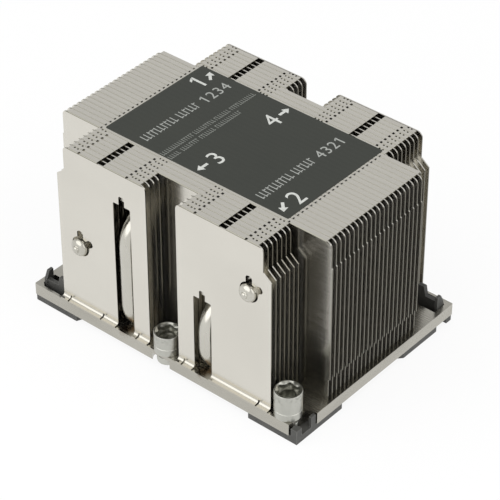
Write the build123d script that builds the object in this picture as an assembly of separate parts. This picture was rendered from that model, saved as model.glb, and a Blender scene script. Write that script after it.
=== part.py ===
from build123d import *
import math
import os

os.makedirs("parts", exist_ok=True)

# Base plate
PLATE_LENGTH = 108.6
PLATE_WIDTH = 78.0
PLATE_THICKNESS = 4.2
PLATE_CORNER = 0.4
# Carrier below the plate, and what it reaches into
CARRIER_DROP = 2.4
PLATE_TOP = CARRIER_DROP + PLATE_THICKNESS
EDGE_X = PLATE_LENGTH / 2
EDGE_Y = PLATE_WIDTH / 2

# Fin stack: folded sheets across the width, numbered from the front
FIN_HEIGHT = 59.6
FIN_TOP = PLATE_TOP + FIN_HEIGHT
FIN_SHEET = 0.4
FIN_CORNER = 2.0
FLANGE_GAP = 0.05
FRONT_LEDGE = 1.7
BACK_LEDGE = 0.6
FRONT_COUNT = 7
CENTRAL_COUNT = 22
BACK_COUNT = 9
FRONT_SPLIT = 4
BACK_SPLIT = 5
FIN_COUNT = FRONT_COUNT + CENTRAL_COUNT + BACK_COUNT
FIN_FRONT = FRONT_LEDGE - EDGE_Y
FIN_BACK = EDGE_Y - BACK_LEDGE
FIN_PITCH = (FIN_BACK - FIN_SHEET - FIN_FRONT) / (FIN_COUNT - 1)

# Outline of a central fin: foot, wing and a slightly narrower shoulder
WING_SIDE = 0.6
WING_HALF = EDGE_X - WING_SIDE
WING_FOOT_INSET = 0.6
WING_FOOT_HEIGHT = 8.4
WING_SHOULDER_INSET = 0.4
WING_SHOULDER_DROP = 9.3
# Outline of a fin of the end groups
END_SIDE = 11.6
END_HALF = EDGE_X - END_SIDE
END_SHOULDER_INSET = 3.1
END_SHOULDER_HALF = END_HALF - END_SHOULDER_INSET
END_SHOULDER_LOW = 11.5
END_SHOULDER_HIGH = 9.0
# Gap between the halves of the split fins, where the middle nuts stand
GAP_HALF = 5.97

# Heat pipes: one arm in the plate, one through the fins
PIPE_RADIUS = 3.0
PIPE_SIDES = 16
PIPE_BEND_STEPS = 3
PIPE_OUTER_SIDE = 8.5
PIPE_OUTER_X = END_HALF - PIPE_OUTER_SIDE
PIPE_INNER_X = 15.9
PIPE_RUN_Z = PLATE_TOP - 0.2
PIPE_RUN_REACH = 18.0
PIPE_ARM_DROP = 18.7
PIPE_ARM_RISE = 23.8
PIPE_ARM_HIGH = FIN_TOP - PIPE_ARM_DROP
PIPE_ARM_LOW = PLATE_TOP + PIPE_ARM_RISE
PIPE_BEND = 9.5
PIPE_LEG_INSET = 2.6
PIPE_TIP_PROUD = 3.0
PIPE_TIP_REACH = PIPE_TIP_PROUD - FIN_FRONT
PIPE_TIP_STEPS = ((1.4, 18), (1.0, 50))
PIPE_GROOVE_PLAY = 0.1
LEG_FRONT = FIN_FRONT + PIPE_LEG_INSET
LEG_BACK = FIN_BACK - PIPE_LEG_INSET

# Openings of the fins around the pipes
HOLE_PLAY = 0.2
WINDOW_HALF = PIPE_RADIUS + 0.5
WINDOW_HIGH = PIPE_ARM_HIGH + 7.1
WINDOW_LOW = PIPE_ARM_LOW + 4.6
WINDOW_EAR_HALF = 1.15
WINDOW_EAR_RISE = 3.2
TIP_HOLE_PLAY = 0.5
TIP_EAR_HALF = 1.1
TIP_EAR_RISE = 6.0
TIP_EAR_TURN = 57
ARCH_PLAY = 0.35
ARCH_FOOT_HALF = PIPE_RADIUS + 0.7
ARCH_CROWN_HALF = 1.6

# Foot of the frontmost fin, bent forward onto the ledge
FOOT_RADIUS = 1.45
FOOT_LIP = 0.6
FOOT_SLIT_HALF = 0.3
FOOT_SLITS = (3.2 - END_HALF, -25.5, -10.5, 8.4, END_HALF - 4.5)

# Captive nuts: turned body, driver recess, threaded bore and a rolled collar
NUT_RADIUS = 4.4
NUT_SIDES = 24
NUT_CORNER_HEIGHT = 9.4
NUT_MIDDLE_HEIGHT = 7.2
NUT_CHAMFER = 0.5
NUT_SHANK_RADIUS = 2.7
NUT_SHANK_PLAY = 0.05
NUT_COLLAR_RADIUS = 3.5
NUT_COLLAR_SIDES = 16
NUT_COLLAR_PLAY = 0.15
NUT_COLLAR_LIFT = 0.2
NUT_BORE_RADIUS = 2.0
NUT_BORE_DEPTH = 7.0
NUT_LOBES = 6
NUT_LOBE_REACH = 3.6
NUT_LOBE_ROOT = 3.0
NUT_LOBE_DEPTH = 2.1
NUT_WELL_RADIUS = 2.4
NUT_WELL_SIDES = 12
NUT_WEB = 0.8
NUT_CORNER_SIDE = 6.8
NUT_CORNER_X = EDGE_X - NUT_CORNER_SIDE
NUT_CORNER_EDGE = 4.1
NUT_MIDDLE_EDGE = 3.3
SEAT_LIP = 1.5
SEAT_CORNER_RADIUS = NUT_COLLAR_RADIUS + 0.2
SEAT_MIDDLE_RADIUS = 4.8

# Corner pockets of the plate and the clips of the carrier that stand in them
CLIP_PLAY = 0.3
CLIP_WALL_Y = (EDGE_Y - 4.2, EDGE_Y - 2.8)
CLIP_WALL_X = (EDGE_X - 10.8, EDGE_X - 3.1)
CLIP_PRONG_X = EDGE_X - 7.8
CLIP_PRONG_TIP_X = EDGE_X - 8.5
CLIP_PRONG_RISE = 4.9
CLIP_BRIDGE_RISE = 1.5
CLIP_BLOCK_X = (EDGE_X - 3.1, EDGE_X - 2.1)
CLIP_BLOCK_Y = (EDGE_Y - 5.6, EDGE_Y - 2.4)
CLIP_BLOCK_TOP_Y = EDGE_Y - 3.8
CLIP_BLOCK_RISE = 4.4
CLIP_BLOCK_SHOULDER = 1.5
POCKET_NEAR_Y = EDGE_Y - 7.4
POCKET_FAR_Y = EDGE_Y - 0.9
# Corners at the nuts, cut away for a post and a prong of the carrier
CUT_X = EDGE_X - 3.2
CUT_Y = EDGE_Y - 9.6
POST_X = (EDGE_X - 2.6, EDGE_X - 0.3)
POST_Y = (EDGE_Y - 2.7, EDGE_Y - 0.3)
POST_RISE = -1.4
PRONG_X = (EDGE_X - 1.3, EDGE_X - 0.3)
PRONG_Y = (EDGE_Y - 9.2, EDGE_Y - 7.2)
PRONG_RISE = -0.4

# Carrier frame
CARRIER_SIDE = 0.3
CARRIER_LONG_INSET = 3.2
CARRIER_SHORT_INSET = 3.0
CARRIER_CLIP_PAD_X = EDGE_X - 17.7
CARRIER_NUT_PAD_X = EDGE_X - 19.3
CARRIER_PAD_TAPER = 1.2
CARRIER_PAD_LOW_Y = EDGE_Y - 22.0
CARRIER_PAD_HIGH_Y = (EDGE_Y - 25.0, EDGE_Y - 8.0, EDGE_Y - 2.7)
CARRIER_WINDOW_X = EDGE_X - 19.3
CARRIER_WINDOW_Y = EDGE_Y - 13.5
CARRIER_STUD_RADIUS = 3.0
CARRIER_NOTCH_HALF = 6.5
CARRIER_NOTCH_DEPTH = 6.0

# Label on the fins and compound below the plate
LABEL_HALF_X = EDGE_X - 18.15
LABEL_HALF_Y = EDGE_Y - 16.55
LABEL_CENTRE_Y = 0.5
LABEL_THICKNESS = 0.15
LABEL_CORNER = 0.4
COMPOUND_HALF_X = CARRIER_WINDOW_X - 4.0
COMPOUND_HALF_Y = CARRIER_WINDOW_Y - 4.5
COMPOUND_THICKNESS = 0.15
COMPOUND_CORNER = 1.2

# name, x, height of the arm, top of the windows, +1 with the bend at the front or -1 at the back
PIPES = (
    ("heat_pipe_1", -PIPE_OUTER_X, PIPE_ARM_LOW, WINDOW_LOW, -1),
    ("heat_pipe_2", -PIPE_INNER_X, PIPE_ARM_HIGH, WINDOW_HIGH, 1),
    ("heat_pipe_3", PIPE_INNER_X, PIPE_ARM_LOW, WINDOW_LOW, 1),
    ("heat_pipe_4", PIPE_OUTER_X, PIPE_ARM_HIGH, WINDOW_HIGH, -1),
)
# name, x, y, radius of the recess under the seat, height above the plate
NUTS = (
    ("captive_nut_1", -NUT_CORNER_X, EDGE_Y - NUT_CORNER_EDGE, SEAT_CORNER_RADIUS, NUT_CORNER_HEIGHT),
    ("captive_nut_2", NUT_CORNER_X, NUT_CORNER_EDGE - EDGE_Y, SEAT_CORNER_RADIUS, NUT_CORNER_HEIGHT),
    ("captive_nut_3", 0, NUT_MIDDLE_EDGE - EDGE_Y, SEAT_MIDDLE_RADIUS, NUT_MIDDLE_HEIGHT),
    ("captive_nut_4", 0, EDGE_Y - NUT_MIDDLE_EDGE, SEAT_MIDDLE_RADIUS, NUT_MIDDLE_HEIGHT),
)


def prism(points, low, high):
    """Upright solid between two heights, from its outline in plan."""
    return Pos(0, 0, low) * extrude(make_face(Polyline(*points, close=True)), amount=high - low)


def block(x_range, y_range, z_range):
    """Box from its limits along each axis."""
    size = [b - a for a, b in (x_range, y_range, z_range)]
    centre = [(a + b) / 2 for a, b in (x_range, y_range, z_range)]
    return Pos(*centre) * Box(*size)


def both_corners(solid):
    """A solid and its copy turned half a turn about the middle of the plate."""
    return solid + Rot(0, 0, 180) * solid


def face_xz(points):
    """Face in the plane of a fin, from x and height."""
    return Plane.XZ * make_face(Polyline(*points, close=True))


def through(face, y, depth=FIN_SHEET):
    """Solid from a face in the fin plane, from y towards the back."""
    return Pos(0, y, 0) * extrude(face, amount=-depth)


def pipe(x, arm_z, side, radius):
    """Pipe of a given radius: run in the plate, leg up one face, arm to the opposite face."""
    leg_y = LEG_FRONT if side > 0 else LEG_BACK
    tip_y = side * (PIPE_TIP_REACH - sum(length for length, taper in PIPE_TIP_STEPS))
    path = [(side * PIPE_RUN_REACH, PIPE_RUN_Z)]
    for centre_z, start in ((PIPE_RUN_Z + PIPE_BEND, -90), (arm_z - PIPE_BEND, 180)):
        for step in range(PIPE_BEND_STEPS + 1):
            angle = math.radians(start - 90 * step / PIPE_BEND_STEPS)
            y = leg_y + side * PIPE_BEND * (1 + math.cos(angle))
            path.append((y, centre_z + PIPE_BEND * math.sin(angle)))
    path.append((tip_y, arm_z))
    line = Polyline(*[(x, y, z) for y, z in path])
    section = Plane(origin=line @ 0, x_dir=(1, 0, 0), z_dir=line % 0)
    body = sweep(section * RegularPolygon(radius, PIPE_SIDES), path=line, transition=Transition.RIGHT)
    end = Plane(origin=line @ 1, x_dir=(1, 0, 0), z_dir=line % 1)
    for length, taper in PIPE_TIP_STEPS:
        body += extrude(end * RegularPolygon(radius, PIPE_SIDES), amount=length, taper=taper)
        end = end.offset(length)
        radius -= length * math.tan(math.radians(taper)) / math.cos(math.pi / PIPE_SIDES)
    return body


def pipe_openings(y, near_end):
    """Faces that a fin at y leaves open for the four pipes."""
    cuts = []
    for name, x, arm_z, shoulder, side in PIPES:
        bend_end = LEG_FRONT + PIPE_BEND if side > 0 else LEG_BACK - PIPE_BEND
        bent = y < bend_end if side > 0 else y + FIN_SHEET > bend_end
        if bent:
            outline = [(x - WINDOW_HALF, PLATE_TOP), (x - WINDOW_HALF, shoulder)]
            if near_end:
                ear = shoulder + WINDOW_EAR_RISE
                outline += [(x - WINDOW_EAR_HALF, shoulder), (x - WINDOW_EAR_HALF, ear)]
                outline += [(x + WINDOW_EAR_HALF, ear), (x + WINDOW_EAR_HALF, shoulder)]
            outline += [(x + WINDOW_HALF, shoulder), (x + WINDOW_HALF, PLATE_TOP)]
            cuts.append(face_xz(outline))
            continue
        if near_end:
            ear = Pos(0, TIP_EAR_RISE / 2) * Rectangle(2 * TIP_EAR_HALF, TIP_EAR_RISE)
            hole = Circle(PIPE_RADIUS + TIP_HOLE_PLAY) + ear + Rot(0, 0, -TIP_EAR_TURN) * ear
        else:
            across = 2 * (PIPE_RADIUS + HOLE_PLAY)
            hole = Rectangle(across, across)
        cuts.append(Plane.XZ * Pos(x, arm_z) * hole)
        run_end = side * (PIPE_RUN_REACH + FIN_PITCH)
        if side * y < side * run_end:
            crown = PIPE_RUN_Z + PIPE_RADIUS + ARCH_PLAY
            arch = [(x - ARCH_FOOT_HALF, PLATE_TOP), (x - ARCH_CROWN_HALF, crown)]
            arch += [(x + ARCH_CROWN_HALF, crown), (x + ARCH_FOOT_HALF, PLATE_TOP)]
            cuts.append(face_xz(arch))
    return cuts


def corner(x, inwards):
    """Outline points of a rounded top corner at x, from the side up to the top."""
    points = []
    for angle in (0, 45, 90):
        reach = FIN_CORNER * (1 - math.cos(math.radians(angle)))
        rise = FIN_CORNER * (math.sin(math.radians(angle)) - 1)
        points.append((x + inwards * reach, FIN_TOP + rise))
    return points


def central_outline():
    """Full-width outline of a central fin."""
    foot = WING_HALF - WING_FOOT_INSET
    foot_top = PLATE_TOP + WING_FOOT_HEIGHT
    shoulder = WING_HALF - WING_SHOULDER_INSET
    low = FIN_TOP - WING_SHOULDER_DROP
    right = [(foot, PLATE_TOP), (foot, foot_top), (WING_HALF, foot_top), (WING_HALF, low)]
    right += [(shoulder, low)] + corner(shoulder, -1)
    return right + [(-x, z) for x, z in reversed(right)]


def end_outline():
    """Full-width outline of a fin of the end groups."""
    right = [(END_HALF, PLATE_TOP), (END_HALF, FIN_TOP - END_SHOULDER_LOW)]
    right += [(END_SHOULDER_HALF, FIN_TOP - END_SHOULDER_HIGH)] + corner(END_SHOULDER_HALF, -1)
    return right + [(-x, z) for x, z in reversed(right)]


def half_outline(sign):
    """Outline of one half of a split fin; sign is -1 for the left and +1 for the right."""
    outer = [(x, z) for x, z in end_outline() if x > 0]
    inner = list(reversed(corner(GAP_HALF, 1))) + [(GAP_HALF, PLATE_TOP)]
    return [(sign * x, z) for x, z in outer + inner]


def fin(outline, y, flange, near_end=False, foot=False):
    """Fin with its front face at y, and a flange folded back along the top over a range of x."""
    sheet = through(face_xz(outline), y)
    if flange:
        reach = FIN_PITCH - FLANGE_GAP
        sheet += block(flange, (y, y + reach), (FIN_TOP - FIN_SHEET, FIN_TOP))
    if foot:
        sheet = bent_foot(sheet, outline, y)
    for face in pipe_openings(y, near_end):
        start = y - FOOT_RADIUS - FOOT_LIP if foot else y
        sheet -= through(face, start, FIN_SHEET + y - start + FIN_SHEET)
    return sheet


def bent_foot(sheet, outline, y):
    """Foot folded forward onto the ledge and slit across."""
    xs = [x for x, z in outline if z == PLATE_TOP]
    low, high = min(xs), max(xs)
    inner = FOOT_RADIUS - FIN_SHEET
    centre = (y - inner, PLATE_TOP + FOOT_RADIUS)
    profile = []
    for radius, angles in ((FOOT_RADIUS, (0, 45, 90)), (inner, (90, 45, 0))):
        for angle in angles:
            turn = math.radians(angle)
            profile.append((centre[0] + radius * math.cos(turn), centre[1] - radius * math.sin(turn)))
    lip = centre[0] - FOOT_LIP
    profile[3:3] = [(lip, PLATE_TOP), (lip, PLATE_TOP + FIN_SHEET)]
    bend = extrude(Plane.YZ * make_face(Polyline(*profile, close=True)), amount=high - low)
    sheet -= block((low, high), (y, y + FIN_SHEET), (PLATE_TOP, centre[1]))
    sheet += Pos(low, 0, 0) * bend
    for x in FOOT_SLITS:
        if low < x < high:
            slit = (x - FOOT_SLIT_HALF, x + FOOT_SLIT_HALF)
            sheet -= block(slit, (lip, y), (PLATE_TOP, centre[1]))
    return sheet


def nut(height):
    """Captive nut with its shoulder on the plate top, about its own axis."""
    collar_top = PLATE_TOP - SEAT_LIP - NUT_COLLAR_PLAY
    collar_low = CARRIER_DROP + NUT_COLLAR_LIFT
    top = PLATE_TOP + height
    edge = top - NUT_CHAMFER
    section = RegularPolygon(NUT_RADIUS, NUT_SIDES)
    body = Pos(0, 0, PLATE_TOP) * extrude(section, amount=edge - PLATE_TOP)
    body += Pos(0, 0, edge) * extrude(section, amount=NUT_CHAMFER, taper=45)
    shank = RegularPolygon(NUT_SHANK_RADIUS, NUT_COLLAR_SIDES)
    body += Pos(0, 0, collar_low) * extrude(shank, amount=PLATE_TOP - collar_low)
    collar = RegularPolygon(NUT_COLLAR_RADIUS, NUT_COLLAR_SIDES)
    body += Pos(0, 0, collar_low) * extrude(collar, amount=collar_top - collar_low)
    body -= Pos(0, 0, collar_low) * extrude(Circle(NUT_BORE_RADIUS), amount=NUT_BORE_DEPTH)
    well = RegularPolygon(NUT_WELL_RADIUS, NUT_WELL_SIDES)
    well_low = collar_low + NUT_BORE_DEPTH + NUT_WEB
    body -= Pos(0, 0, well_low) * extrude(well, amount=top - well_low)
    lobes = []
    for i in range(2 * NUT_LOBES):
        reach = NUT_LOBE_REACH if i % 2 == 0 else NUT_LOBE_ROOT
        turn = math.pi * i / NUT_LOBES
        lobes.append((reach * math.cos(turn), reach * math.sin(turn)))
    return body - prism(lobes, top - NUT_LOBE_DEPTH, top)


def pocket():
    """Pocket of the plate for the clip at the right back corner."""
    outline = [
        (CLIP_WALL_X[0] - CLIP_PLAY, POCKET_NEAR_Y),
        (CLIP_BLOCK_X[1] + CLIP_PLAY, POCKET_NEAR_Y),
        (CLIP_BLOCK_X[1] + CLIP_PLAY, CLIP_BLOCK_Y[1] + CLIP_PLAY / 2),
        (CLIP_BLOCK_X[0] - CLIP_PLAY, POCKET_FAR_Y),
        (CLIP_WALL_X[0] - CLIP_PLAY, POCKET_FAR_Y),
    ]
    return prism(outline, CARRIER_DROP, PLATE_TOP)


def clip():
    """Clip of the carrier at the right back corner: wall with a prong, and an end block."""
    low = CARRIER_DROP / 2
    wall = [
        (CLIP_WALL_X[0], low),
        (CLIP_WALL_X[0], PLATE_TOP + CLIP_PRONG_RISE),
        (CLIP_PRONG_TIP_X, PLATE_TOP + CLIP_PRONG_RISE),
        (CLIP_PRONG_X, PLATE_TOP + CLIP_BRIDGE_RISE),
        (CLIP_BLOCK_X[0], PLATE_TOP + CLIP_BRIDGE_RISE),
        (CLIP_BLOCK_X[0], low),
    ]
    end = [
        (CLIP_BLOCK_Y[0], low),
        (CLIP_BLOCK_Y[0], PLATE_TOP + CLIP_BLOCK_RISE),
        (CLIP_BLOCK_TOP_Y, PLATE_TOP + CLIP_BLOCK_RISE),
        (CLIP_BLOCK_Y[1], PLATE_TOP + CLIP_BLOCK_SHOULDER),
        (CLIP_BLOCK_Y[1], low),
    ]
    solid = through(face_xz(wall), CLIP_WALL_Y[0], CLIP_WALL_Y[1] - CLIP_WALL_Y[0])
    side = Plane.YZ * make_face(Polyline(*end, close=True))
    return solid + Pos(CLIP_BLOCK_X[0], 0, 0) * extrude(side, amount=CLIP_BLOCK_X[1] - CLIP_BLOCK_X[0])


def base_plate():
    """Plate with pipe grooves, nut seats, clip pockets and two cut corners."""
    plate = block((-EDGE_X, EDGE_X), (-EDGE_Y, EDGE_Y), (CARRIER_DROP, PLATE_TOP))
    plate = fillet(plate.edges().filter_by(Axis.Z), PLATE_CORNER)
    plate -= both_corners(pocket())
    plate -= both_corners(block((CUT_X, EDGE_X), (-EDGE_Y, -CUT_Y), (CARRIER_DROP, PLATE_TOP)))
    for name, x, arm_z, shoulder, side in PIPES:
        plate -= pipe(x, arm_z, side, PIPE_RADIUS + PIPE_GROOVE_PLAY)
    for name, x, y, recess, height in NUTS:
        plate -= Pos(x, y, CARRIER_DROP) * extrude(Circle(recess), amount=PLATE_THICKNESS - SEAT_LIP)
        hole = Circle(NUT_SHANK_RADIUS + NUT_SHANK_PLAY)
        plate -= Pos(x, y, CARRIER_DROP) * extrude(hole, amount=PLATE_THICKNESS)
    return plate


def carrier():
    """Moulded frame with pads at the corners, clips through the plate, posts and prongs."""
    side_x, side_y = EDGE_X - CARRIER_SIDE, EDGE_Y - CARRIER_SIDE
    short_x, long_y = EDGE_X - CARRIER_SHORT_INSET, EDGE_Y - CARRIER_LONG_INSET
    low, high, last = CARRIER_PAD_HIGH_Y
    notch_y = long_y - CARRIER_NOTCH_DEPTH
    half = [
        (side_x, -side_y),
        (side_x, -CARRIER_PAD_LOW_Y),
        (short_x, CARRIER_SHORT_INSET - CARRIER_PAD_LOW_Y),
        (short_x, low - CARRIER_SHORT_INSET),
        (side_x, low),
        (side_x, high),
        (short_x, high),
        (short_x, last),
        (side_x, last),
        (side_x, side_y),
        (CARRIER_CLIP_PAD_X, side_y),
        (CARRIER_CLIP_PAD_X - CARRIER_PAD_TAPER, long_y),
        (CARRIER_NOTCH_HALF, long_y),
        (CARRIER_NOTCH_HALF, notch_y),
        (-CARRIER_NOTCH_HALF, notch_y),
        (-CARRIER_NOTCH_HALF, long_y),
        (CARRIER_PAD_TAPER - CARRIER_NUT_PAD_X, long_y),
        (-CARRIER_NUT_PAD_X, side_y),
    ]
    frame = prism(half + [(-x, -y) for x, y in half], 0, CARRIER_DROP)
    window = (-CARRIER_WINDOW_X, CARRIER_WINDOW_X)
    frame -= block(window, (-CARRIER_WINDOW_Y, CARRIER_WINDOW_Y), (0, CARRIER_DROP))
    frame += both_corners(clip())
    post = block(POST_X, (-POST_Y[1], -POST_Y[0]), (CARRIER_DROP / 2, PLATE_TOP + POST_RISE))
    prong = block(PRONG_X, (-PRONG_Y[1], -PRONG_Y[0]), (CARRIER_DROP / 2, PLATE_TOP + PRONG_RISE))
    frame += both_corners(post + prong)
    for name, x, y, recess, height in NUTS[:2]:
        frame -= Pos(x, y, 0) * extrude(Circle(CARRIER_STUD_RADIUS), amount=CARRIER_DROP)
    return frame


def film(half_x, half_y, cut, thickness):
    """Thin sheet with cut corners about the origin."""
    half = [(half_x, cut - half_y), (half_x, half_y - cut), (half_x - cut, half_y), (cut - half_x, half_y)]
    return prism(half + [(-x, -y) for x, y in half], 0, thickness)


nodes = {"base_plate": base_plate(), "carrier": carrier()}
for name, x, arm_z, shoulder, side in PIPES:
    nodes[name] = pipe(x, arm_z, side, PIPE_RADIUS)
for name, x, y, recess, height in NUTS:
    nodes[name] = Pos(x, y, 0) * nut(height)
for i in range(FIN_COUNT):
    y = FIN_FRONT + i * FIN_PITCH
    sheet_name = f"fin_{i + 1:02d}"
    first, last = i == 0, i == FIN_COUNT - 1
    if i < FRONT_SPLIT or i >= FIN_COUNT - BACK_SPLIT:
        ends = (GAP_HALF + FIN_CORNER, END_SHOULDER_HALF - FIN_CORNER)
        for side, sign in (("left", -1), ("right", 1)):
            flange = None if last else tuple(sorted(sign * x for x in ends))
            nodes[f"{sheet_name}_{side}"] = fin(half_outline(sign), y, flange, first or last, first)
    elif i < FRONT_COUNT or i >= FIN_COUNT - BACK_COUNT:
        half = END_SHOULDER_HALF - FIN_CORNER
        nodes[sheet_name] = fin(end_outline(), y, (-half, half))
    else:
        half = WING_HALF - WING_SHOULDER_INSET - FIN_CORNER
        nodes[sheet_name] = fin(central_outline(), y, (-half, half))
label = film(LABEL_HALF_X, LABEL_HALF_Y, LABEL_CORNER, LABEL_THICKNESS)
nodes["label"] = Pos(0, LABEL_CENTRE_Y, FIN_TOP) * label
compound = film(COMPOUND_HALF_X, COMPOUND_HALF_Y, COMPOUND_CORNER, COMPOUND_THICKNESS)
nodes["thermal_compound"] = Pos(0, 0, CARRIER_DROP - COMPOUND_THICKNESS) * compound

for name, solid in nodes.items():
    export_step(solid, f"parts/{name}.step")
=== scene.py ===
import bpy
import bmesh
import math
from mathutils import Matrix, Vector


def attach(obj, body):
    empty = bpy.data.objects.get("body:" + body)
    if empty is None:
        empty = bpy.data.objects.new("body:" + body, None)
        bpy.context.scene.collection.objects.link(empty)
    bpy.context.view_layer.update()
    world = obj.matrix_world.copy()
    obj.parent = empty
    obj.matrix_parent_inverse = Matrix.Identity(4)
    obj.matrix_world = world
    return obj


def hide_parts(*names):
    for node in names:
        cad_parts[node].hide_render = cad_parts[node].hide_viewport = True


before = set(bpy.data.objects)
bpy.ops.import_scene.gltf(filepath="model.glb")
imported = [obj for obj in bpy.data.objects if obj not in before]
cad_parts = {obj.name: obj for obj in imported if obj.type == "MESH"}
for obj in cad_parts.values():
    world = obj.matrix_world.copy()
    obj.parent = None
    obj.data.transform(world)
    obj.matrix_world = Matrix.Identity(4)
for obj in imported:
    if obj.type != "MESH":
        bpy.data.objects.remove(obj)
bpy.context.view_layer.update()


# Base plate: a block of copper, milled flat, with grooves, seats and pockets.
# It is nickel plated after milling, so fine tool lines stay under a satin plating,
# and the solder flux has left brown stains at the feet of the four pipe windows.

def wire(tree, made, values):
    for key, value in values.items():
        if isinstance(value, bpy.types.NodeSocket):
            tree.links.new(value, made.inputs[key])
        else:
            made.inputs[key].default_value = value
    return made


def add(tree, kind, values=None, **settings):
    made = tree.nodes.new("ShaderNode" + kind)
    for key, value in settings.items():
        setattr(made, key, value)
    return wire(tree, made, values or {})


def effect(name, inputs, outputs):
    tree = bpy.data.node_groups.new(name, "ShaderNodeTree")
    for label, kind, value in inputs:
        socket = tree.interface.new_socket(label, in_out="INPUT", socket_type="NodeSocket" + kind)
        socket.default_value = value
    for label, kind in outputs:
        tree.interface.new_socket(label, in_out="OUTPUT", socket_type="NodeSocket" + kind)
    return tree, tree.nodes.new("NodeGroupInput").outputs, tree.nodes.new("NodeGroupOutput")


def stretched(tree, scale):
    place = add(tree, "TexCoord").outputs["Object"]
    return add(tree, "VectorMath", {0: place, 1: scale}, operation="MULTIPLY").outputs[0]


tree, given, out = effect("Colour drift", (
    ("Colour A", "Color", (0.7, 0.7, 0.7, 1)), ("Colour B", "Color", (0.6, 0.6, 0.6, 1)),
    ("Scale", "Vector", (60, 60, 60))), (("Colour", "Color"), ("Value", "Float")))
noise = add(tree, "TexNoise", {
    "Vector": stretched(tree, given["Scale"]), "Scale": 1.0, "Detail": 4.0, "Roughness": 0.6})
level = add(tree, "MapRange", {0: noise.outputs[0], 1: 0.32, 2: 0.68})
blend = add(tree, "Mix", {0: level.outputs[0], 6: given["Colour A"], 7: given["Colour B"]}, data_type="RGBA")
wire(tree, out, {"Colour": blend.outputs[2], "Value": level.outputs[0]})
colour_drift = tree

tree, given, out = effect("Drawn grain", (
    ("Scale", "Vector", (200, 200, 4000)), ("Depth", "Float", 0.2),
    ("Low", "Float", 0.25), ("High", "Float", 0.4)), (("Roughness", "Float"), ("Normal", "Vector")))
noise = add(tree, "TexNoise", {"Vector": stretched(tree, given["Scale"]), "Scale": 1.0, "Detail": 3.0})
level = add(tree, "MapRange", {0: noise.outputs[0], 1: 0.3, 2: 0.7, 3: given["Low"], 4: given["High"]})
bump = add(tree, "Bump", {"Strength": given["Depth"], "Distance": 0.00002, "Height": noise.outputs[0]})
wire(tree, out, {"Roughness": level.outputs[0], "Normal": bump.outputs[0]})
drawn_grain = tree

# Mask along the edges, used to paint highlights on them.
tree, given, out = effect("Edge highlight", (
    ("Width", "Float", 0.0002), ("Gain", "Float", 4.0)), (("Mask", "Float"),))
soft = add(tree, "Bevel", {"Radius": given["Width"]}, samples=4)
plain = add(tree, "NewGeometry")
turn = add(tree, "VectorMath", {0: soft.outputs[0], 1: plain.outputs["Normal"]}, operation="DOT_PRODUCT")
away = add(tree, "Math", {0: 1.0, 1: turn.outputs["Value"]}, operation="SUBTRACT")
gain = add(tree, "Math", {0: away.outputs[0], 1: given["Gain"]}, operation="MULTIPLY", use_clamp=True)
wire(tree, out, {"Mask": gain.outputs[0]})
edge_highlight = tree

# Ragged patch round a centre, used for real stains and for painted shade.
tree, given, out = effect("Stain and shade", (
    ("Centre", "Vector", (0, 0, 0)), ("Reach", "Float", 0.004)), (("Mask", "Float"),))
place = add(tree, "TexCoord").outputs["Object"]
gap = add(tree, "VectorMath", {0: place, 1: given["Centre"]}, operation="DISTANCE").outputs["Value"]
noise = add(tree, "TexNoise", {"Vector": place, "Scale": 900.0, "Detail": 3.0}).outputs[0]
ratio = add(tree, "Math", {0: gap, 1: given["Reach"]}, operation="DIVIDE").outputs[0]
ragged = add(tree, "Math", {0: ratio, 1: noise}, operation="ADD").outputs[0]
level = add(tree, "MapRange", {0: ragged, 1: 1.5, 2: 0.9})
wire(tree, out, {"Mask": level.outputs[0]})
stain_and_shade = tree


def material(name, metallic, **sockets):
    made = bpy.data.materials.new(name)
    made.use_nodes = True
    shader = made.node_tree.nodes["Principled BSDF"]
    wire(made.node_tree, shader, {"Metallic": metallic, **sockets})
    return made, made.node_tree, shader


def group(tree, effect_tree, values=None):
    made = tree.nodes.new("ShaderNodeGroup")
    made.node_tree = effect_tree
    return wire(tree, made, values or {}).outputs


look, tree, shader = material("Plated plate", 1.0)
tint = group(tree, colour_drift, {
    "Colour A": (0.47, 0.455, 0.405, 1), "Colour B": (0.41, 0.395, 0.35, 1), "Scale": (45, 45, 120)})
# Painted highlight: the plate's edges are brightened.
edge_highlight_mask = group(tree, edge_highlight, {"Width": 0.0002, "Gain": 2.5})["Mask"]
bright = add(tree, "Mix", {0: edge_highlight_mask, 6: tint["Colour"], 7: (0.62, 0.60, 0.55, 1)}, data_type="RGBA").outputs[2]
window_feet = (
    (-0.0159, -0.0368, 0.0070), (0.0159, -0.0366, 0.0070), (-0.034, 0.037, 0.0070), (0.034, 0.037, 0.0070))
for centre in window_feet:
    foot = group(tree, stain_and_shade, {"Centre": centre, "Reach": 0.0030})["Mask"]
    bright = add(tree, "Mix", {0: foot, 6: bright, 7: (0.20, 0.15, 0.10, 1)}, data_type="RGBA").outputs[2]
grain = group(tree, drawn_grain, {"Scale": (150, 5000, 5000), "Depth": 0.08, "Low": 0.20, "High": 0.30})
wire(tree, shader, {"Base Color": bright, "Roughness": grain["Roughness"], "Normal": grain["Normal"]})
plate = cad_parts["base_plate"]
plate.data.materials.clear()
plate.data.materials.append(look)
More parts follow.
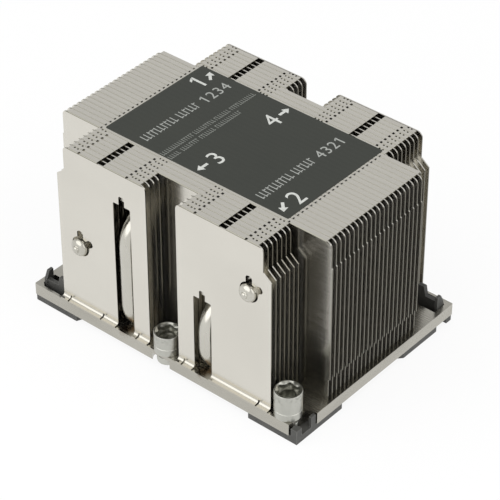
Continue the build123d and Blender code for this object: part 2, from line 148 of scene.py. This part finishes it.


# Fins: stamped from 0.4 mm aluminium strip and nickel plated for soldering.
# The top edge of each is folded back over one pitch, with rows of holes and slots
# where tabs hook the next fin.
# The sheared edges facing ±x stay dull and are darkened with painted shade, and the strip over the plate is
# darker towards the bottom.
look, tree, shader = material("Plated fin", 1.0)
tint = group(tree, colour_drift, {
    "Colour A": (0.69, 0.668, 0.607, 1), "Colour B": (0.65, 0.628, 0.570, 1), "Scale": (22, 500, 30)})
place = add(tree, "TexCoord").outputs
spot = add(tree, "SeparateXYZ", {0: place["Object"]}).outputs
height = spot[2]
# Darker towards the bottom, just over the plate.
low_darkening = add(tree, "MapRange", {0: height, 1: 0.0068, 2: 0.0100, 3: 0.55, 4: 0.0}).outputs[0]
darkened_low = add(tree, "Mix", {0: low_darkening, 6: tint["Colour"], 7: (0.36, 0.34, 0.29, 1)}, data_type="RGBA").outputs[2]
facing = add(tree, "SeparateXYZ", {0: place["Normal"]}).outputs
turned = add(tree, "Math", {0: facing[0]}, operation="ABSOLUTE").outputs[0]
# Painted shade on the sheet edges that face ±x.
side_shade = add(tree, "MapRange", {0: turned, 1: 0.75, 2: 0.95}).outputs[0]
final = add(tree, "Mix", {0: side_shade, 6: darkened_low, 7: (0.18, 0.17, 0.14, 1)}, data_type="RGBA").outputs[2]
# Painted shade along the outer curve of the top fold.
bent = add(tree, "MapRange", {0: facing[1], 1: -0.2, 2: -0.6}).outputs[0]
high = add(tree, "MapRange", {0: height, 1: 0.06570, 2: 0.06585}).outputs[0]
fold_shade = add(tree, "Math", {0: bent, 1: high}, operation="MULTIPLY").outputs[0]
final = add(tree, "Mix", {0: fold_shade, 6: final, 7: (0.26, 0.25, 0.21, 1)}, data_type="RGBA").outputs[2]
reach = add(tree, "Math", {0: spot[0]}, operation="ABSOLUTE").outputs[0]
wing_end = add(tree, "Math", {0: reach, 1: 0.0529, 2: 0.0011}, operation="COMPARE").outputs[0]
group_end = add(tree, "Math", {0: reach, 1: 0.0419, 2: 0.0010}, operation="COMPARE").outputs[0]
slot_end = add(tree, "Math", {0: reach, 1: 0.0068, 2: 0.0009}, operation="COMPARE").outputs[0]
ends = add(tree, "Math", {0: wing_end, 1: group_end}, operation="ADD").outputs[0]
ends = add(tree, "Math", {0: ends, 1: slot_end}, operation="ADD", use_clamp=True).outputs[0]
fore_and_aft = add(tree, "Math", {0: facing[1]}, operation="ABSOLUTE").outputs[0]
upright = add(tree, "Math", {0: fore_and_aft, 1: 0.9}, operation="GREATER_THAN").outputs[0]
burr = add(tree, "Math", {0: ends, 1: upright}, operation="MULTIPLY").outputs[0]
lustre = add(tree, "MapRange", {0: burr, 3: 1.0, 4: 0.95}).outputs[0]
grain = group(tree, drawn_grain, {"Scale": (90, 900, 1500), "Depth": 0.012, "Low": 0.19, "High": 0.25})
wire(tree, shader, {
    "Base Color": final, "Metallic": lustre, "Roughness": grain["Roughness"], "Normal": grain["Normal"]})
fin_look = look

PLATE_TOP, FIN_TOP = 6.6, 66.2
FIN_FRONT, FIN_PITCH, SHEET, FOLD = -37.3, 75.3 / 37, 0.4, 0.42
FOOT_RADIUS, FOOT_LIP = 1.45, 0.6
WINDOW_HALF, WINDOW_CORNER, EAR_HALF, EAR_RISE = 3.5, 0.5, 1.15, 3.2
TIP_HOLE, ARM_HOLE, RUN_ARCH = 3.5, 3.2, 3.45
LEG_FRONT, LEG_BACK, BEND, RUN_REACH = -34.7, 35.8, 9.5, 18.0
PIPES = ((-34.2, 30.4, 35.0, -1), (-15.9, 47.5, 54.6, 1), (15.9, 30.4, 35.0, 1), (34.2, 47.5, 54.6, -1))
END_FOLDS = (
    (7.97, 9.4, "full"), (9.4, 10.0, "short"), (10.0, 10.7, "full"), (10.7, 11.3, "short"),
    (11.3, 12.0, "full"), (12.0, 12.5, "short"), (12.5, 13.1, "full"), (13.1, 13.9, "late"),
    (13.9, 22.8, "full"), (25.5, 32.6, "full"), (32.6, 33.4, "late"), (33.4, 34.3, "full"),
    (34.3, 34.9, "short"), (34.9, 35.6, "full"), (35.6, 36.2, "short"), (36.2, 37.6, "full"))
WING_FOLDS = ((36.9, 37.4, "late"), (37.4, 51.3, "full"))


def piece(name, mesh, look, body, nodes=()):
    """Object from a mesh in millimetres, riding on a body and standing for its nodes."""
    mesh.transform(Matrix.Scale(0.001, 4))
    mesh.polygons.foreach_set("use_smooth", [True] * len(mesh.polygons))
    mesh.set_sharp_from_angle(angle=math.radians(35))
    mesh.materials.clear()
    mesh.materials.append(look)
    made = bpy.data.objects.new(name, mesh)
    bpy.context.scene.collection.objects.link(made)
    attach(made, body)
    if nodes:
        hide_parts(*nodes)
    return made


def ring(centre, radius, start, end, steps):
    points = []
    for step in range(steps + 1):
        turn = math.radians(start + (end - start) * step / steps)
        points.append((centre[0] + radius * math.cos(turn), centre[1] + radius * math.sin(turn)))
    return points


def cut_sheet(outline, holes, y):
    """Sheet in the plane of a fin with its front at y, from an outline and holes in x and height."""
    curve = bpy.data.curves.new("cut", "CURVE")
    curve.dimensions = "2D"
    curve.fill_mode = "BOTH"
    curve.extrude = SHEET / 2
    for loop in [outline] + holes:
        spline = curve.splines.new("POLY")
        spline.points.add(len(loop) - 1)
        for point, (u, v) in zip(spline.points, loop):
            point.co = (u, v, 0, 1)
        spline.use_cyclic_u = True
    holder = bpy.data.objects.new("cut", curve)
    mesh = bpy.data.meshes.new_from_object(holder)
    bpy.data.objects.remove(holder)
    bpy.data.curves.remove(curve)
    mesh.transform(Matrix(((1, 0, 0, 0), (0, 0, -1, y + SHEET / 2), (0, 1, 0, 0), (0, 0, 0, 1))))
    return mesh


def bar(bm, profile, low, high):
    """Prism along x between low and high, from a profile in y and height."""
    ends = [[bm.verts.new((x, y, z)) for y, z in profile] for x in (low, high)]
    bm.faces.new(ends[0])
    bm.faces.new(reversed(ends[1]))
    for i in range(len(profile)):
        j = (i + 1) % len(profile)
        bm.faces.new((ends[0][j], ends[0][i], ends[1][i], ends[1][j]))


def fold_profile(y, kind):
    reach = FIN_PITCH - 0.13
    if kind == "late":
        start, low = y + 0.8, FIN_TOP - SHEET
        return [(start, FIN_TOP), (y + reach, FIN_TOP), (y + reach, low), (start, low)]
    if kind == "short":
        reach -= 0.55
    centre = (y + FOLD, FIN_TOP - FOLD)
    outer = ring(centre, FOLD, 180, 90, 5)
    inner = ring(centre, FOLD - SHEET, 90, 180, 3)
    return outer + [(y + reach, FIN_TOP), (y + reach, FIN_TOP - SHEET)] + inner


def openings(y, near_end):
    """Notches in the foot edge and round holes of a fin at y, for the four pipes."""
    notches, holes = [], []
    for x, arm, top, side in PIPES:
        bent = y < LEG_FRONT + BEND if side > 0 else y + SHEET > LEG_BACK - BEND
        if bent:
            side_x = WINDOW_HALF - WINDOW_CORNER
            step = [(x - WINDOW_HALF, PLATE_TOP)]
            step += ring((x - side_x, top - WINDOW_CORNER), WINDOW_CORNER, 180, 90, 3)
            if near_end:
                ear = top + EAR_RISE
                step += [(x - EAR_HALF, top), (x - EAR_HALF, ear - 0.5), (x - 0.8, ear)]
                step += [(x + 0.8, ear), (x + EAR_HALF, ear - 0.5), (x + EAR_HALF, top)]
            step += ring((x + side_x, top - WINDOW_CORNER), WINDOW_CORNER, 90, 0, 3)
            notches.append(step + [(x + WINDOW_HALF, PLATE_TOP)])
            continue
        if near_end:
            hole = ring((x, arm), TIP_HOLE, 110, 373, 20)
            for angle in (33, 90):
                along = Vector((math.cos(math.radians(angle)), math.sin(math.radians(angle))))
                across = Vector((-along.y, along.x))
                if angle == 90:
                    hole += ring((x, arm), TIP_HOLE, 53, 70, 3)
                for reach, half in ((5.1, -1.25), (5.75, -0.85), (6.0, 0.0), (5.75, 0.85), (5.1, 1.25)):
                    hole.append(tuple(Vector((x, arm)) + along * reach + across * half))
            holes.append(hole)
        else:
            holes.append(ring((x, arm), ARM_HOLE, 0, 347, 27))
        if side * y < RUN_REACH + FIN_PITCH:
            notches.append(ring((x, PLATE_TOP), RUN_ARCH, 180, 0, 10))
    return sorted(notches), holes


def fin(name, right, left, folds, y, near_end=False, foot=False):
    """Fin from the outline of its right and left sides, each going up, and its folds in x."""
    notches, holes = openings(y, near_end)
    low, high = left[0][0], right[0][0]
    notches = [cut for cut in notches if low < cut[0][0] < high]
    holes = [cut for cut in holes if low < cut[0][0] < high]
    floor = PLATE_TOP + (FOOT_RADIUS if foot else 0)
    outline = [(low, floor)]
    for cut in notches:
        outline += [(cut[0][0], floor)] + cut[1:-1] + [(cut[-1][0], floor)]
    outline += [(high, floor)] + right[1:] + list(reversed(left[1:]))
    bm = bmesh.new()
    bm.from_mesh(cut_sheet(outline, holes, y))
    for start, end, kind in folds:
        bar(bm, fold_profile(y, kind), start, end)
    if foot:
        inner = FOOT_RADIUS - SHEET
        centre = (y - inner, PLATE_TOP + FOOT_RADIUS)
        lip = centre[0] - FOOT_LIP
        toe = [(lip, PLATE_TOP), (lip, PLATE_TOP + SHEET)]
        bend = ring(centre, FOOT_RADIUS, 0, -90, 8) + toe + ring(centre, inner, -90, 0, 8)
        breaks = [low, high] + [value for cut in notches for value in (cut[0][0], cut[-1][0])]
        breaks += [x + d for x in (-39.5, -25.5, -10.5, 8.4, 38.2) for d in (-0.3, 0.3) if low < x < high]
        breaks.sort()
        for start, end in zip(breaks[::2], breaks[1::2]):
            bar(bm, bend, start, end)
    bmesh.ops.remove_doubles(bm, verts=bm.verts, dist=0.001)
    bmesh.ops.recalc_face_normals(bm, faces=bm.faces)
    mesh = bpy.data.meshes.new(name)
    bm.to_mesh(mesh)
    bm.free()
    piece("stamped_" + name, mesh, fin_look, "cooler", [name])


def top_corner(x, sign):
    """Rounded corner at x up to the fold; sign is +1 where the outline turns towards smaller x."""
    arc = ring((x - sign * 2, FIN_TOP - 2), 2, 0 if sign > 0 else 180, 90, 8)
    return arc + [(x - sign * 2, FIN_TOP - FOLD)]


def mirrored(points):
    return [(-x, z) for x, z in points]


wing = [(53.1, PLATE_TOP), (53.1, 15.0), (53.7, 15.0), (53.7, 56.9), (53.3, 57.2)] + top_corner(53.3, 1)
end = [(42.7, PLATE_TOP), (42.7, 54.7), (39.6, 57.2)] + top_corner(39.6, 1)
gap = [(5.97, PLATE_TOP)] + top_corner(5.97, -1)
both_ends = [(-b, -a, kind) for a, b, kind in END_FOLDS] + [(-7.97, 7.97, "full")] + list(END_FOLDS)
both_wings = [(-b, -a, kind) for a, b, kind in WING_FOLDS] + [(-36.9, 36.9, "full")] + list(WING_FOLDS)
for i in range(38):
    y = FIN_FRONT + i * FIN_PITCH
    name = f"fin_{i + 1:02d}"
    outermost = i == 0
    if i == 37:
        fin(name + "_right", end[:-1], gap[:-1], [], y, True)
        fin(name + "_left", mirrored(gap[:-1]), mirrored(end[:-1]), [], y, True)
    elif i < 4 or i > 32:
        fin(name + "_right", end, gap, list(END_FOLDS), y, outermost, outermost)
        folds = [(-b, -a, kind) for a, b, kind in END_FOLDS]
        fin(name + "_left", mirrored(gap), mirrored(end), folds, y, outermost, outermost)
    elif i < 7 or i > 28:
        fin(name, end, mirrored(end), both_ends, y)
    else:
        fin(name, wing, mirrored(wing), both_wings, y)


# Heat pipes: sealed 6 mm copper tubes, bent into a C and nickel plated.
# One end is spun to a closed dome with a small pinch-off nib and stands proud of
# the outermost fin; the bend shows in the window of the opposite face.
look, tree, shader = material("Plated pipe", 1.0)
tint = group(tree, colour_drift, {
    "Colour A": (0.57, 0.555, 0.50, 1), "Colour B": (0.50, 0.485, 0.43, 1), "Scale": (90, 90, 40)})
grain = group(tree, drawn_grain, {"Scale": (900, 900, 130), "Depth": 0.06, "Low": 0.20, "High": 0.30})
wire(tree, shader, {"Base Color": tint["Colour"], "Roughness": grain["Roughness"], "Normal": grain["Normal"]})
PIPE_RADIUS, TIP_REACH, DOME = 3.0, 40.3, 2.4
for number, (x, arm, top, side) in enumerate(PIPES, 1):
    leg = LEG_FRONT if side > 0 else LEG_BACK
    tip = side * TIP_REACH
    route = [(side * RUN_REACH, PLATE_TOP - 0.2, 0.0)]
    for centre_z, start in ((PLATE_TOP - 0.2 + BEND, -90), (arm - BEND, 180)):
        for step in range(15):
            turn = math.radians(start - 90 * step / 14)
            y = leg + side * BEND * (1 + math.cos(turn))
            slope = math.degrees(turn) + 90
            route.append((y, centre_z + BEND * math.sin(turn), slope))
    route.append((tip - side * DOME, arm, 180.0))
    dome = [(0.3, 2.93), (0.65, 2.75), (0.95, 2.45), (1.2, 2.05), (1.35, 1.65), (1.42, 1.25)]
    dome += [(1.55, 1.12), (1.85, 1.08), (2.1, 0.92), (2.26, 0.62), (2.33, 0.2)]
    bm = bmesh.new()
    rings = []
    sections = [(y, z, slope, PIPE_RADIUS) for y, z, slope in route]
    sections += [(tip - side * (DOME - d), arm, 180.0, r) for d, r in dome]
    for y, z, slope, radius in sections:
        lean = math.radians(slope)
        across = Vector((0, -side * math.sin(lean), math.cos(lean)))
        loop = []
        for k in range(40):
            turn = 2 * math.pi * k / 40
            offset = Vector((math.cos(turn), 0, 0)) + across * math.sin(turn)
            loop.append(bm.verts.new(Vector((x, y, z)) + offset * radius))
        rings.append(loop)
    for a, b in zip(rings, rings[1:]):
        for k in range(40):
            j = (k + 1) % 40
            bm.faces.new((a[k], a[j], b[j], b[k]))
    bm.faces.new(rings[0])
    bm.faces.new(rings[-1])
    bmesh.ops.recalc_face_normals(bm, faces=bm.faces)
    mesh = bpy.data.meshes.new(f"pipe_{number}")
    bm.to_mesh(mesh)
    bm.free()
    piece(f"bent_pipe_{number}", mesh, look, "cooler", [f"heat_pipe_{number}"])


# Captive nuts: turned from steel bar and nickel plated, with a six-lobe driver recess.
# A shoulder sits on the plate, a shallow band runs round the body, and a rolled
# collar below the plate's lip keeps each nut in its seat. Painted shade darkens the recess.
look, tree, shader = material("Turned nut", 1.0)
tint = group(tree, colour_drift, {
    "Colour A": (0.52, 0.52, 0.475, 1), "Colour B": (0.45, 0.45, 0.41, 1), "Scale": (250, 250, 120)})
# Painted highlight: the nut's edges are brightened.
edge_highlight_mask = group(tree, edge_highlight, {"Width": 0.0002, "Gain": 2.5})["Mask"]
highlit_edges = (0.66, 0.655, 0.61, 1)
bright = add(tree, "Mix", {0: edge_highlight_mask, 6: tint["Colour"], 7: highlit_edges}, data_type="RGBA").outputs[2]
recesses = ((-0.0475, 0.0349, 0.0150), (0.0475, -0.0349, 0.0150), (0, -0.0357, 0.0128), (0, 0.0357, 0.0128))
# Painted shade darkens the inside of each driver recess.
for centre in recesses:
    recess_shade = group(tree, stain_and_shade, {"Centre": centre, "Reach": 0.0046})["Mask"]
    bright = add(tree, "Mix", {0: recess_shade, 6: bright, 7: (0.14, 0.135, 0.11, 1)}, data_type="RGBA").outputs[2]
grain = group(tree, drawn_grain, {"Scale": (60, 60, 9000), "Depth": 0.15, "Low": 0.28, "High": 0.42})
wire(tree, shader, {"Base Color": bright, "Roughness": grain["Roughness"], "Normal": grain["Normal"]})
NUTS = ((-47.5, 34.9, 16.0), (47.5, -34.9, 16.0), (0.0, -35.7, 13.8), (0.0, 35.7, 13.8))
for number, (cx, cy, top) in enumerate(NUTS, 1):
    profile = [(2.0, 9.6)]
    for k in range(9):
        profile += [(2.0, 9.4 - 0.7 * k), (2.12, 9.05 - 0.7 * k)]
    profile += [(2.3, 2.6), (3.3, 2.6), (3.45, 2.68), (3.5, 2.85), (3.5, 4.8), (3.42, 4.95), (2.7, 4.95)]
    profile += [(2.7, 6.6), (4.25, 6.6), (4.38, 6.75), (4.38, 9.1), (4.26, 9.2), (4.26, 9.5), (4.38, 9.6)]
    profile += [(4.4, top - 0.35), (4.36, top - 0.15), (4.25, top)]
    bm = bmesh.new()
    rings = []
    count = 72
    for radius, z in profile:
        rings.append([bm.verts.new((cx + radius * math.cos(t), cy + radius * math.sin(t), z))
                      for t in (2 * math.pi * k / count for k in range(count))])
    floor = 10.4
    levels = [(3.95, 0.0, top), (3.5, 0.08, top - 0.35), (3.25, 0.3, top - 0.62), (3.2, 0.3, top - 2.1)]
    levels += [(2.45, 0.02, top - 2.15), (2.4, 0.0, top - 2.3), (2.4, 0.0, floor + 0.3)]
    levels += [(0.6, 0.0, floor), (0.1, 0.0, floor)]
    for middle, lobe, z in levels:
        loop = []
        for k in range(count):
            turn = 2 * math.pi * k / count
            radius = middle + lobe * math.cos(6 * turn)
            loop.append(bm.verts.new((cx + radius * math.cos(turn), cy + radius * math.sin(turn), z)))
        rings.append(loop)
    for a, b in zip(rings, rings[1:]):
        for k in range(count):
            j = (k + 1) % count
            bm.faces.new((a[k], a[j], b[j], b[k]))
    bm.faces.new(rings[0])
    bm.faces.new(rings[-1])
    bmesh.ops.recalc_face_normals(bm, faces=bm.faces)
    mesh = bpy.data.meshes.new(f"nut_{number}")
    bm.to_mesh(mesh)
    bm.free()
    piece(f"turned_nut_{number}", mesh, look, f"nut_{number}", [f"captive_nut_{number}"])


# Carrier: the clip frame of the processor, moulded in black glass-filled plastic.
# It snaps under the plate with clips that come up through the two pockets; the
# moulding is matt with a fine grain, and its edges carry a painted highlight.
tree, given, out = effect("Moulded grain", (
    ("Scale", "Float", 3000.0), ("Depth", "Float", 0.3)), (("Value", "Float"), ("Normal", "Vector")))
place = add(tree, "TexCoord").outputs["Object"]
pits = add(tree, "TexVoronoi", {"Vector": place, "Scale": given["Scale"]})
bump = add(tree, "Bump", {
    "Strength": given["Depth"], "Distance": 0.00003, "Height": pits.outputs["Distance"]})
wire(tree, out, {"Value": pits.outputs["Distance"], "Normal": bump.outputs[0]})
moulded_grain = tree

look, tree, shader = material("Moulded carrier", 0.0)
tint = group(tree, colour_drift, {
    "Colour A": (0.045, 0.045, 0.042, 1), "Colour B": (0.075, 0.074, 0.068, 1), "Scale": (150, 150, 150)})
# Painted highlight: the carrier's edges are lightened.
edge_highlight_mask = group(tree, edge_highlight, {"Width": 0.0003, "Gain": 2.5})["Mask"]
highlit_edges = add(tree, "Mix", {0: edge_highlight_mask, 6: tint["Colour"], 7: (0.20, 0.20, 0.19, 1)}, data_type="RGBA").outputs[2]
grain = group(tree, moulded_grain, {"Scale": 2600.0, "Depth": 0.35})
level = add(tree, "MapRange", {0: grain["Value"], 3: 0.5, 4: 0.68}).outputs[0]
wire(tree, shader, {"Base Color": highlit_edges, "Roughness": level, "Normal": grain["Normal"]})
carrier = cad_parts["carrier"]
carrier.data.materials.clear()
carrier.data.materials.append(look)


# Label: dark printed film stuck on the fin tops, with rounded corners.
# It has plain position numbers with arrows and rows of generic marks in a light ink;
# the ink is thin on the rows, and the matt film shows the fins' pitch as faint waves.
look, tree, shader = material("Label film", 0.0)
tint = group(tree, colour_drift, {
    "Colour A": (0.025, 0.028, 0.022, 1), "Colour B": (0.031, 0.034, 0.027, 1), "Scale": (60, 60, 60)})
place = add(tree, "TexCoord").outputs["Object"]
waves = add(tree, "TexWave", {"Vector": place, "Scale": 156.4, "Distortion": 0.3}, bands_direction="Y")
bump = add(tree, "Bump", {"Strength": 0.10, "Distance": 0.0001, "Height": waves.outputs["Fac"]}).outputs[0]
level = add(tree, "MapRange", {0: tint["Value"], 3: 0.42, 4: 0.52}).outputs[0]
wire(tree, shader, {
    "Base Color": tint["Colour"], "Roughness": level, "Normal": bump, "Specular IOR Level": 0.3})
film_look = look

look, tree, shader = material("Label ink", 0.0)
tint = group(tree, colour_drift, {
    "Colour A": (0.62, 0.63, 0.60, 1), "Colour B": (0.50, 0.51, 0.48, 1), "Scale": (900, 900, 900)})
level = add(tree, "MapRange", {0: tint["Value"], 3: 0.5, 4: 0.62}).outputs[0]
place = add(tree, "SeparateXYZ", {0: add(tree, "TexCoord").outputs["Object"]}).outputs[0]
left_row = add(tree, "Math", {0: place, 1: -0.0229, 2: 0.003}, operation="COMPARE").outputs[0]
right_row = add(tree, "Math", {0: place, 1: 0.0230, 2: 0.003}, operation="COMPARE").outputs[0]
rows = add(tree, "Math", {0: left_row, 1: right_row}, operation="ADD").outputs[0]
small = add(tree, "Math", {0: place, 1: -0.0117, 2: 0.003}, operation="COMPARE").outputs[0]
thin = add(tree, "Mix", {0: rows, 6: tint["Colour"], 7: (0.33, 0.34, 0.32, 1)}, data_type="RGBA").outputs[2]
thin = add(tree, "Mix", {0: small, 6: thin, 7: (0.21, 0.22, 0.20, 1)}, data_type="RGBA").outputs[2]
wire(tree, shader, {"Base Color": thin, "Roughness": level})
ink_look = look

LABEL_HALF_X, LABEL_HALF_Y, LABEL_CENTRE_Y, LABEL_CORNER = 36.15, 22.45, 0.5, 0.5
bm = bmesh.new()
loops = []
for inset, z in ((0.0, FIN_TOP), (0.0, FIN_TOP + 0.10), (0.03, FIN_TOP + 0.135)):
    loop = []
    for sx, sy, start in ((1, 1, 0), (-1, 1, 90), (-1, -1, 180), (1, -1, 270)):
        centre = (sx * (LABEL_HALF_X - LABEL_CORNER), LABEL_CENTRE_Y + sy * (LABEL_HALF_Y - LABEL_CORNER))
        arc = ring(centre, LABEL_CORNER - inset, start, start + 90, 6)
        loop += [bm.verts.new((u, v, z)) for u, v in arc]
    loops.append(loop)
for a, b in zip(loops, loops[1:]):
    for k in range(len(a)):
        j = (k + 1) % len(a)
        bm.faces.new((a[k], a[j], b[j], b[k]))
bm.faces.new(loops[-1])
bm.faces.new(reversed(loops[0]))
mesh = bpy.data.meshes.new("film")
bm.to_mesh(mesh)
bm.free()
piece("label_film", mesh, film_look, "cooler", ["label"])

bm = bmesh.new()
INK_LOW, INK_HIGH = FIN_TOP + 0.13, FIN_TOP + 0.15


def ink(points):
    """Raised patch of ink from its outline in plan."""
    low = [bm.verts.new((x, y, INK_LOW)) for x, y in points]
    high = [bm.verts.new((x, y, INK_HIGH)) for x, y in points]
    bm.faces.new(high)
    for k in range(len(points)):
        j = (k + 1) % len(points)
        bm.faces.new((low[k], low[j], high[j], high[k]))


def bar_mark(x, y, dx, dy):
    left, right, low, high = x - dx / 2, x + dx / 2, y - dy / 2, y + dy / 2
    ink([(left, low), (right, low), (right, high), (left, high)])


def arrow(x, y, dx, dy, length):
    along = Vector((dx, dy)).normalized()
    across = Vector((-along.y, along.x))
    tail, neck, point = (Vector((x, y)) + along * d for d in (-length / 2, length * 0.05, length / 2))
    ink([tail - across * 0.5, neck - across * 0.5, neck - across * 1.5, point,
         neck + across * 1.5, neck + across * 0.5, tail + across * 0.5])


def numeral(text, x, y, height):
    """Numeral with its top towards -x, as a flat mesh added to the ink."""
    curve = bpy.data.curves.new("numeral", "FONT")
    curve.body = text
    curve.extrude = 0.01
    curve.resolution_u = 6
    holder = bpy.data.objects.new("numeral", curve)
    flat = bpy.data.meshes.new_from_object(holder)
    bpy.data.objects.remove(holder)
    bpy.data.curves.remove(curve)
    xs = [v.co.x for v in flat.vertices]
    ys = [v.co.y for v in flat.vertices]
    size = height / (max(ys) - min(ys))
    middle = Vector(((max(xs) + min(xs)) / 2, (max(ys) + min(ys)) / 2, 0))
    turn = Matrix.Translation((x, y, INK_HIGH - 0.01)) @ Matrix.Rotation(math.pi / 2, 4, "Z")
    flat.transform(turn @ Matrix.Diagonal((size, size, 1, 1)) @ Matrix.Translation(-middle))
    bm.from_mesh(flat)
    bpy.data.meshes.remove(flat)
    if text == "1":
        flag = ((-0.04, 0.5), (-0.28, 0.34), (-0.28, 0.2), (-0.04, 0.34))
        ink([(x - v * height, y + u * height) for u, v in flag])


for text, x, y in (("1", -31.0, 15.3), ("4", 0.3, 13.5), ("3", 0.3, -12.5), ("2", 31.3, -12.5)):
    numeral(text, x, y, 6.3)
for x, y, dx, dy in ((-30.3, 20.0, -1, 1), (0.3, 19.6, 0, 1), (0.3, -18.6, 0, -1), (31.5, -18.6, 1, -1)):
    arrow(x, y, dx, dy, 4.6)
for x, numbers in ((-22.9, "1234"), (23.0, "4321")):
    for k, text in enumerate(numbers):
        numeral(text, x, 9.0 + 3.2 * k, 3.9)
    for start, end in ((-19.0, -5.0), (-3.0, 6.0)):
        y = start
        while y < end:
            bar_mark(x, y, 3.4, 0.34)
            bar_mark(x + (1.2 if int(y) % 2 else -1.2), y + 0.55, 0.36, 0.8)
            y += 1.5
for x, words in ((-13.25, ((-21.5, -8.0), (-6.8, 1.8), (3.0, 9.0), (10.2, 21.0))),
                 (-10.25, ((-21.5, -17.0), (-15.8, -8.6), (-7.4, -1.4), (0.0, 10.5)))):
    for start, end in words:
        y = start
        while y < end:
            bar_mark(x, y, 1.9, 0.2)
            bar_mark(x + (0.7 if int(y * 2) % 2 else -0.7), y + 0.35, 0.2, 0.5)
            y += 0.95
bmesh.ops.recalc_face_normals(bm, faces=bm.faces)
mesh = bpy.data.meshes.new("ink")
bm.to_mesh(mesh)
bm.free()
piece("label_print", mesh, ink_look, "cooler")


# Thermal compound: grey paste screened onto the contact face as one patch.
# It is matt and slightly uneven, and shows only from below.
look, tree, shader = material("Screened compound", 0.0)
tint = group(tree, colour_drift, {
    "Colour A": (0.36, 0.36, 0.35, 1), "Colour B": (0.44, 0.44, 0.42, 1), "Scale": (300, 300, 300)})
grain = group(tree, moulded_grain, {"Scale": 1100.0, "Depth": 0.5})
level = add(tree, "MapRange", {0: grain["Value"], 3: 0.6, 4: 0.8}).outputs[0]
wire(tree, shader, {"Base Color": tint["Colour"], "Roughness": level, "Normal": grain["Normal"]})
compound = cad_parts["thermal_compound"]
compound.data.materials.clear()
compound.data.materials.append(look)


# Studio: a plain white floor, a surround that pales to the horizon, and soft lights.
# The floor shows white to the camera and in reflections, with a faint shadow left.
look, tree, shader = material("Pale floor", 0.0, Roughness=0.9)
tint = group(tree, colour_drift, {
    "Colour A": (0.90, 0.90, 0.90, 1), "Colour B": (0.905, 0.905, 0.905, 1), "Scale": (3, 3, 3)})
wire(tree, shader, {"Base Color": tint["Colour"], "Specular IOR Level": 0.1})
path = add(tree, "LightPath").outputs
seen = add(tree, "Math", {0: path["Is Camera Ray"], 1: path["Is Glossy Ray"]}, operation="ADD").outputs[0]
through = path["Is Transmission Ray"]
seen = add(tree, "Math", {0: seen, 1: through}, operation="ADD", use_clamp=True).outputs[0]
part = add(tree, "Math", {0: seen, 1: 0.88}, operation="MULTIPLY").outputs[0]
white = add(tree, "Emission", {"Color": (1, 1, 1, 1), "Strength": 1.0})
pick = add(tree, "MixShader", {0: part, 1: shader.outputs[0], 2: white.outputs[0]})
tree.links.new(pick.outputs[0], tree.nodes["Material Output"].inputs[0])
mesh = bpy.data.meshes.new("floor")
mesh.from_pydata([(-6, -6, 0), (6, -6, 0), (6, 6, 0), (-6, 6, 0)], [], [(0, 1, 2, 3)])
mesh.materials.append(look)
floor = bpy.data.objects.new("floor", mesh)
bpy.context.scene.collection.objects.link(floor)

world = bpy.data.worlds.new("Surround")
bpy.context.scene.world = world
world.use_nodes = True
tree = world.node_tree
height = add(tree, "SeparateXYZ", {0: add(tree, "TexCoord").outputs["Generated"]}).outputs[2]
level = add(tree, "MapRange", {0: height, 1: 0.05, 2: 0.55, 3: 1.0, 4: 0.7}).outputs[0]
wire(tree, tree.nodes["Background"], {"Color": (1, 1, 1, 1), "Strength": level})


def area(name, place, aim, size, power):
    lamp = bpy.data.lights.new(name, "AREA")
    lamp.shape = "DISK"
    lamp.size = size
    lamp.energy = power
    made = bpy.data.objects.new(name, lamp)
    made.location = place
    made.rotation_euler = (Vector(aim) - Vector(place)).to_track_quat("-Z", "Y").to_euler()
    bpy.context.scene.collection.objects.link(made)


area("Key", (-0.25, -0.75, 0.75), (0, 0, 0.02), 1.5, 7.2)
area("Fill", (0.8, 0.1, 0.6), (0, 0, 0.02), 1.0, 3.0)

lens = bpy.data.cameras.new("Camera")
lens.lens = 167.93
lens.sensor_width = 36.0
lens.clip_start, lens.clip_end = 0.05, 20.0
camera = bpy.data.objects.new("Camera", lens)
camera.location = (0.37725, -0.44126, 0.47093)
camera.rotation_euler = (math.radians(52.4085), math.radians(0.0653), math.radians(40.2484))
bpy.context.scene.collection.objects.link(camera)
bpy.context.scene.camera = camera
bpy.context.scene.view_settings.view_transform = "Standard"
